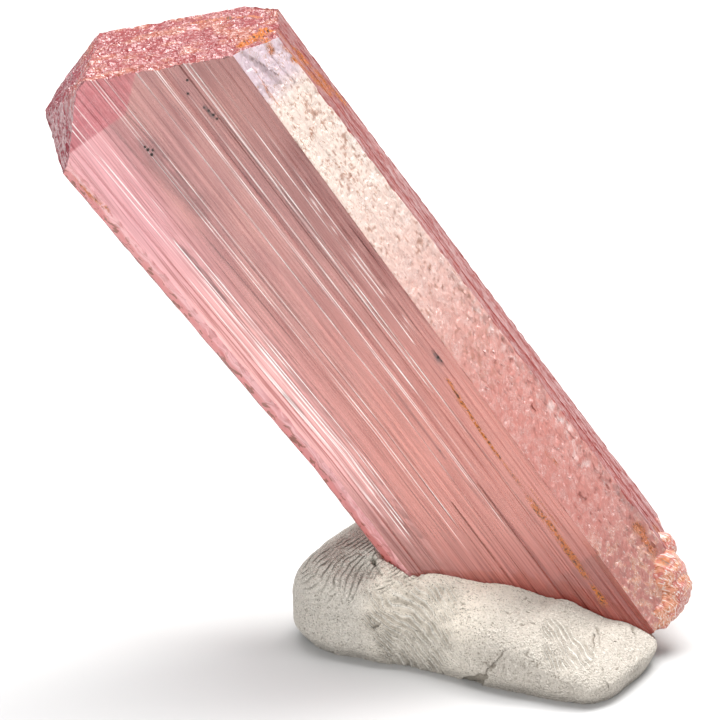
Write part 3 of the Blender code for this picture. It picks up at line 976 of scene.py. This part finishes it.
class Nodes:
    """Builds a material's nodes."""

    def __init__(self, name, origin=(0.0, 0.0, 0.0), turn=(0.0, 0.0, 0.0)):
        self.material = bpy.data.materials.new(name)
        self.material.use_nodes = True
        self.tree = self.material.node_tree
        # Places in millimetres, in the piece's own frame.
        own = self.node("TexCoord", "Object")
        given = (("Vector", own), ("Location", origin), ("Rotation", turn), ("Scale", (MM, MM, MM)))
        self.place = self.node("Mapping", 0, given, vector_type="TEXTURE")
        self.x, self.y, self.z = (self.node("SeparateXYZ", i, ((0, self.place),)) for i in range(3))

    def put(self, socket, value):
        """Gives a socket another node's output, a number, a vector or a colour."""
        if isinstance(value, Value):
            self.tree.links.new(value.socket, socket)
        elif socket.type == "RGBA":
            socket.default_value = (*value, 1.0)
        else:
            socket.default_value = value

    def node(self, kind, output, given=(), **settings):
        """Adds a node with its inputs and settings, and returns one of its outputs."""
        node = self.tree.nodes.new("ShaderNode" + kind)
        for name, value in settings.items():
            setattr(node, name, value)
        for socket, value in given:
            self.put(node.inputs[socket], value)
        return Value(self, node.outputs[output])

    def give(self, name, value):
        """Sets one of the surface shader's inputs."""
        self.put(self.tree.nodes["Principled BSDF"].inputs[name], value)

    def maths(self, operation, *values, clamp=False):
        return self.node("Math", 0, enumerate(values), operation=operation, use_clamp=clamp)

    def largest(self, first, *others):
        for other in others:
            first = self.maths("MAXIMUM", first, other)
        return first

    def mix(self, factor, a, b, blend="MIX"):
        given = ((0, factor), (6, a), (7, b))
        return self.node("Mix", 2, given, data_type="RGBA", blend_type=blend)

    def coats(self, colour, *coats):
        """Lays coats over a colour, one after another: (how much of it, its colour)."""
        for share, coat in coats:
            colour = self.mix(share, colour, coat)
        return colour

    def vector(self, *parts):
        return self.node("CombineXYZ", 0, enumerate(parts))

    def noise(self, width, length=None, detail=2.0, roughness=0.5):
        """Noise with cells of a width, or laid flat on the surface with a width and a length."""
        place, scale = self.place, 1.0 / width
        if length:
            given = ((0, self.spread), (1, (width, length, 1.0)))
            place, scale = self.node("VectorMath", 0, given, operation="DIVIDE"), 1.0
        given = {"Vector": place, "Scale": scale, "Detail": detail, "Roughness": roughness}
        return self.node("TexNoise", "Fac", given.items(), noise_dimensions="2D" if length else "3D")

    def kept(self, name):
        return self.node("Attribute", "Fac", attribute_name=name)

    def zone(self, *numbers):
        """1 in these zones of the surface and 0 elsewhere."""
        return sum(self.maths("COMPARE", self.kept("zone"), float(one), 0.25) for one in numbers)

    def near(self, point, radius):
        """1 within radius of a point and 0 beyond it."""
        away = self.node("VectorMath", "Value", ((0, self.place), (1, point)), operation="DISTANCE")
        return away.span(radius * (1.0 + SPECK_EDGE), radius * (1.0 - SPECK_EDGE))


def kunzite_material():
    n = Nodes("kunzite", FOOT, (0.0, TIP, 0.0))
    x, y, z = n.x, n.y, n.z
    front, etched, back = n.zone(FRONT), n.zone(ETCHED), n.zone(BACK)
    side, left = n.zone(SIDE, BACK_RIGHT), n.zone(LEFT, BACK_LEFT)
    edge, top, crust = n.zone(FRONT_LEFT), n.zone(TOP), n.zone(BREAK, CRUST)
    tone, frost_and_highlight, pits, rust, shade = map(n.kept, ("tone", "frost_and_highlight", "pits", "rust", "shade"))
    # Places on the surface, unrolled a little differently on each kind of face.
    n.spread = n.vector(x + y * (1.7 - top * 1.7), z + y * (-1.3 + top * 0.55 + edge * 1.3))

    grain = n.noise(0.26, 0.38, roughness=0.7)
    cloud = n.noise(3.2, 9.0, detail=1.0)
    fine = n.noise(0.13, 9.0, detail=1.0)
    patch = n.noise(0.95, detail=1.0)
    # Painted glints of small flats: thin bright outlines, in patches, and light grains.
    painted_glint_outline = abs(grain - 0.5).span(0.03, 0.01) * patch.span(0.42, 0.56)
    # The light grains, with the outlines, are painted glints of small flats.
    dark_grain, painted_glints = grain.span(0.58, 0.7), n.largest(grain.span(0.34, 0.26), painted_glint_outline)

    # The front: greyish mauve above, salmon below, deeper at the foot with painted shade beside the putty,
    # pale at the left.
    high = z.span(26.0, 62.0)
    # Painted shade at the foot, beside the putty.
    deep = (z + x * 0.6).span(21.0, 7.0)
    pale = x.span(-4.0, -7.5) * z.span(16.0, 36.0)
    # A painted view of the termination's left part as seen through the front: a deeper zone with a clear
    # edge, with painted glints.
    seen = front * (z - n.largest(73.1, 75.6 + x * 0.85)).span(-0.15, 0.15)
    tint = n.coats(
        n.mix(high, (0.67, 0.31, 0.26), (0.45, 0.24, 0.232)),
        (cloud.span(0.35, 0.75) * high, (0.64, 0.36, 0.325)),
        (high * x.span(0.5, 6.0) * 0.6, (0.36, 0.175, 0.155)),
        # Painted shade at the foot, beside the putty.
        (deep, (0.34, 0.074, 0.055)),
        (pale, n.mix(z.span(48.0, 64.0), (1.0, 0.52, 0.5), (0.88, 0.44, 0.465))),
        (seen * 0.9, (0.56, 0.15, 0.175)),
        (seen * painted_glints * 0.5, (0.95, 0.6, 0.62)),
    )
    # Streaks, darker and lighter than the tint: painted shade and light of the fine treads, on top of tone
    # drawn at random.
    strength = tone * (0.38 + pale * z.span(62.0, 50.0, -0.2, 0.3)) + fine.span(0.35, 0.65) * 0.44
    darkening = n.mix(strength.span(-0.45, 0.25), (0.6, 0.4, 0.39), (1.0, 1.0, 1.0))
    tint = n.mix(1.0, tint, darkening, "MULTIPLY")
    tint = n.mix(1.0, tint, n.vector(*[strength.span(0.15, 0.85, 1.0, 1.35)] * 3), "MULTIPLY")

    # The etched face, with a brown web high up and amber patches at its foot.
    lower = (z + y * 0.8).span(15.0, 6.0)
    web = abs(n.noise(0.42, 0.6, detail=1.0) - 0.5).span(0.045, 0.015)
    cream = n.coats(
        # Whiter upward: the etched face's own cream, with a painted glare of the light on its upper part.
        n.mix(z.span(26.0, 60.0), (0.7, 0.29, 0.25), (0.98, 0.86, 0.76)),
        (z.span(64.5, 67.5), (0.78, 0.66, 0.74)),
        (lower * patch.span(0.46, 0.6) * 0.7, (0.86, 0.4, 0.22)),
        (dark_grain * 0.35, (0.46, 0.2, 0.15)),
        # Painted glints on the etched face.
        (painted_glints * (0.6 + lower * 0.4), (1.0, 0.95, 0.93)),
        (web * z.span(42.0, 56.0) * patch.span(0.44, 0.6, 0.05, 0.85), (0.5, 0.26, 0.15)),
        (pits * 0.7, (0.34, 0.13, 0.06)),
    )
    mauve = n.coats(
        n.mix(z.span(20.0, 60.0), (0.34, 0.04, 0.034), (0.32, 0.062, 0.058)),
        (cloud.span(0.4, 0.7) * 0.5, (0.42, 0.09, 0.078)),
        # Painted glints on the side.
        (painted_glints * 0.38, (1.0, 0.88, 0.86)),
        (dark_grain * 0.35, (0.28, 0.08, 0.07)),
    )
    rose = n.coats(
        n.mix(x.span(-7.5, -4.0), (0.27, 0.028, 0.048), (0.38, 0.06, 0.064)),
        (n.noise(2.6).span(0.48, 0.62) * x.span(-9.0, -3.0) * 0.5, (0.56, 0.2, 0.1)),
        # Painted glints on the termination.
        (painted_glints * 0.45, (1.0, 0.95, 0.94)),
        (dark_grain * 0.6, (0.25, 0.04, 0.045)),
    )
    peach = n.coats(
        n.mix(patch.span(0.44, 0.56), (0.7, 0.2, 0.165), (0.85, 0.36, 0.21)),
        # White flecks: partly the crust's glassy white, partly painted glints.
        (grain.span(0.46, 0.38), (1.0, 0.9, 0.84)),
        (grain.span(0.56, 0.64) * 0.8, (0.42, 0.12, 0.03)),
    )
    outer = y.span(0.5, 0.9)
    rim = n.coats(
        n.mix(outer, (0.94, 0.5, 0.51), (0.7, 0.22, 0.21)),
        (fine.span(0.42, 0.62) * 0.55, (0.66, 0.2, 0.21)),
        (n.noise(0.34, 1.1).span(0.55, 0.61) * (0.25 + outer * 0.7), (0.26, 0.06, 0.03)),
    )
    stained = rust * (grain + side * 0.05).span(0.62, 0.54)
    specks = n.largest(*[n.near(place, radius) for place, radius in SPECKS])
    n.give("Base Color", n.coats(
        n.mix(etched, tint, cream),
        (side, mauve),
        (left, (0.92, 0.62, 0.62)),
        (edge, rim),
        (top, rose),
        (crust, peach),
        # White lines: partly frost, partly painted highlights of the striations.
        (frost_and_highlight * 0.95, (1.0, 0.96, 0.94)),
        (shade * 0.8, (0.12, 0.06, 0.06)),
        (stained, n.mix(grain.span(0.46, 0.38), (0.56, 0.15, 0.004), (0.08, 0.018, 0.005))),
        (specks, (0.02, 0.006, 0.004)),
    ))

    # How far the surface hides what is behind it.
    veiled = n.largest(
        front * (0.34 + pale * 0.48 + deep * 0.5) + etched * z.span(15.0, 58.0, 0.5, 0.72)
        + side * 0.72 + top * 0.66 + crust * 0.65 + left * 0.25 + edge * 0.75 + back * 0.15
        + frost_and_highlight * 0.5 + painted_glints * (etched + side + top) * 0.25,
        stained, specks, shade,
    )
    n.give("Transmission Weight", n.maths("SUBTRACT", 1.0, veiled, clamp=True))
    n.give("Roughness", (
        0.06 + etched * 0.32 + side * 0.22 + top * 0.2 + crust * 0.35 + (left + edge) * 0.2
        + back * 0.12 + n.largest(stained, specks) * 0.6 + frost_and_highlight * 0.3
    ))
    n.give("IOR", KUNZITE_IOR)
    inside = n.node("VolumeAbsorption", 0, (("Color", (0.8, 0.42, 0.41)), ("Density", INSIDE_DENSITY)))
    n.put(n.tree.nodes["Material Output"].inputs["Volume"], inside)
    return n.material


def putty_material():
    n = Nodes("putty", (0.0, 0.0, 0.0), (0.0, 0.0, PUTTY_TURN))
    x, z = n.x, n.z
    # Thin raised lines and furrows of the finger ridges.
    wave = abs(n.maths("SINE", n.kept("crossed") * math.pi))
    grip, thin = n.kept("grip"), wave.span(0.66, 0.1)
    raised, sunk = thin * n.largest(grip, 0.0), thin * n.largest(grip * -1.0, 0.0)
    furrow = wave.span(0.55, 0.95) * n.largest(grip, 0.0)
    grit = n.noise(0.19, detail=1.0)
    cells = n.node("TexVoronoi", "Distance", (("Vector", n.place), ("Scale", 1.0 / 0.27)))
    pores = cells.span(0.3, 0.2) * n.noise(1.1, detail=1.0).span(0.46, 0.58)
    # Painted highlights on the raised thin lines and on light grains.
    light = n.largest(raised, grit.span(0.57, 0.7) * 0.45) * 0.95
    # Painted shade in hollows, pores, sunk lines, furrows and dark grains.
    painted_shade = n.largest(
        n.kept("painted_hollow_shade") * 0.8, pores * 0.75, sunk * 0.7, grit.span(0.43, 0.3) * 0.42, furrow * 0.55
    )
    n.give("Base Color", n.coats(
        n.mix(n.noise(3.0, detail=3.0), (0.66, 0.605, 0.53), (0.78, 0.72, 0.63)),
        # Painted light: lighter on the top, more so towards the left.
        (z.span(3.0, 6.0) * x.span(8.0, 2.0, 0.2, 0.9), (0.92, 0.83, 0.715)),
        # Painted shade towards the right.
        (x.span(2.0, 8.0) * 0.62, (0.45, 0.41, 0.365)),
        # Painted shade on the lobe at the left.
        (x.span(-5.5, -9.0), (0.66, 0.615, 0.55)),
        (light, (0.98, 0.93, 0.84)),
        (painted_shade, (0.17, 0.14, 0.1)),
    ))
    n.give("Roughness", 0.85)
    relief = (("Height", grit + (raised - sunk)), ("Distance", 0.28 * MM), ("Strength", 1.0))
    n.give("Normal", n.node("Bump", 0, relief))
    return n.material


# The scene


def area_light(name, place, towards, size, power, colour):
    light = bpy.data.lights.new(name, "AREA")
    light.shape = "RECTANGLE"
    light.size = light.size_y = size
    light.energy = power
    light.color = colour
    made = bpy.data.objects.new(name, light)
    made.location = place
    made.rotation_euler = (Vector(towards) - Vector(place)).to_track_quat("-Z", "Y").to_euler()
    bpy.context.scene.collection.objects.link(made)


def studio():
    corners = [(x * FLOOR_HALF, y * FLOOR_HALF, 0.0) for x, y in ((-1, -1), (1, -1), (1, 1), (-1, 1))]
    floor = made_object("floor", corners, [[0, 1, 2, 3]])
    n = Nodes("floor")
    n.give("Base Color", (0.61, 0.61, 0.61))
    n.give("Roughness", 1.0)
    n.give("Specular IOR Level", 0.0)
    floor.data.materials.append(n.material)
    # The camera sees a white world, and everything else is lit by a grey one.
    world = bpy.data.worlds.new("studio")
    world.use_nodes = True
    bpy.context.scene.world = world
    tree = world.node_tree
    back = tree.nodes["Background"]
    seen = tree.nodes.new("ShaderNodeBackground")
    seen.inputs["Color"].default_value = (1.0, 1.0, 1.0, 1.0)
    back.inputs["Color"].default_value = (0.5, 0.5, 0.5, 1.0)
    path = tree.nodes.new("ShaderNodeLightPath")
    mixed = tree.nodes.new("ShaderNodeMixShader")
    tree.links.new(path.outputs["Is Camera Ray"], mixed.inputs[0])
    tree.links.new(back.outputs[0], mixed.inputs[1])
    tree.links.new(seen.outputs[0], mixed.inputs[2])
    tree.links.new(mixed.outputs[0], tree.nodes["World Output"].inputs["Surface"])
    for light in LIGHTS:
        area_light(*light)


def camera():
    data = bpy.data.cameras.new("camera")
    data.lens = LENS
    data.sensor_width = SENSOR
    data.clip_start = 0.01
    data.clip_end = 10.0
    made = bpy.data.objects.new("camera", data)
    made.location = CAMERA
    made.rotation_euler = (math.radians(90.0 - LOOKING_DOWN), 0.0, 0.0)
    bpy.context.scene.collection.objects.link(made)
    bpy.context.scene.camera = made


scene = bpy.context.scene
scene.view_settings.view_transform = "Standard"
scene.cycles.max_bounces = 8
scene.cycles.transmission_bounces = 7
scene.cycles.glossy_bounces = 4
scene.cycles.diffuse_bounces = 2
camera()
studio()

crystal = make_crystal()
crystal.data.materials.clear()
crystal.data.materials.append(kunzite_material())
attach(crystal, "root")
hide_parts("kunzite_crystal")

putty = make_putty()
putty.data.materials.clear()
putty.data.materials.append(putty_material())
for polygon in putty.data.polygons:
    polygon.use_smooth = True
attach(putty, "root")
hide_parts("putty")
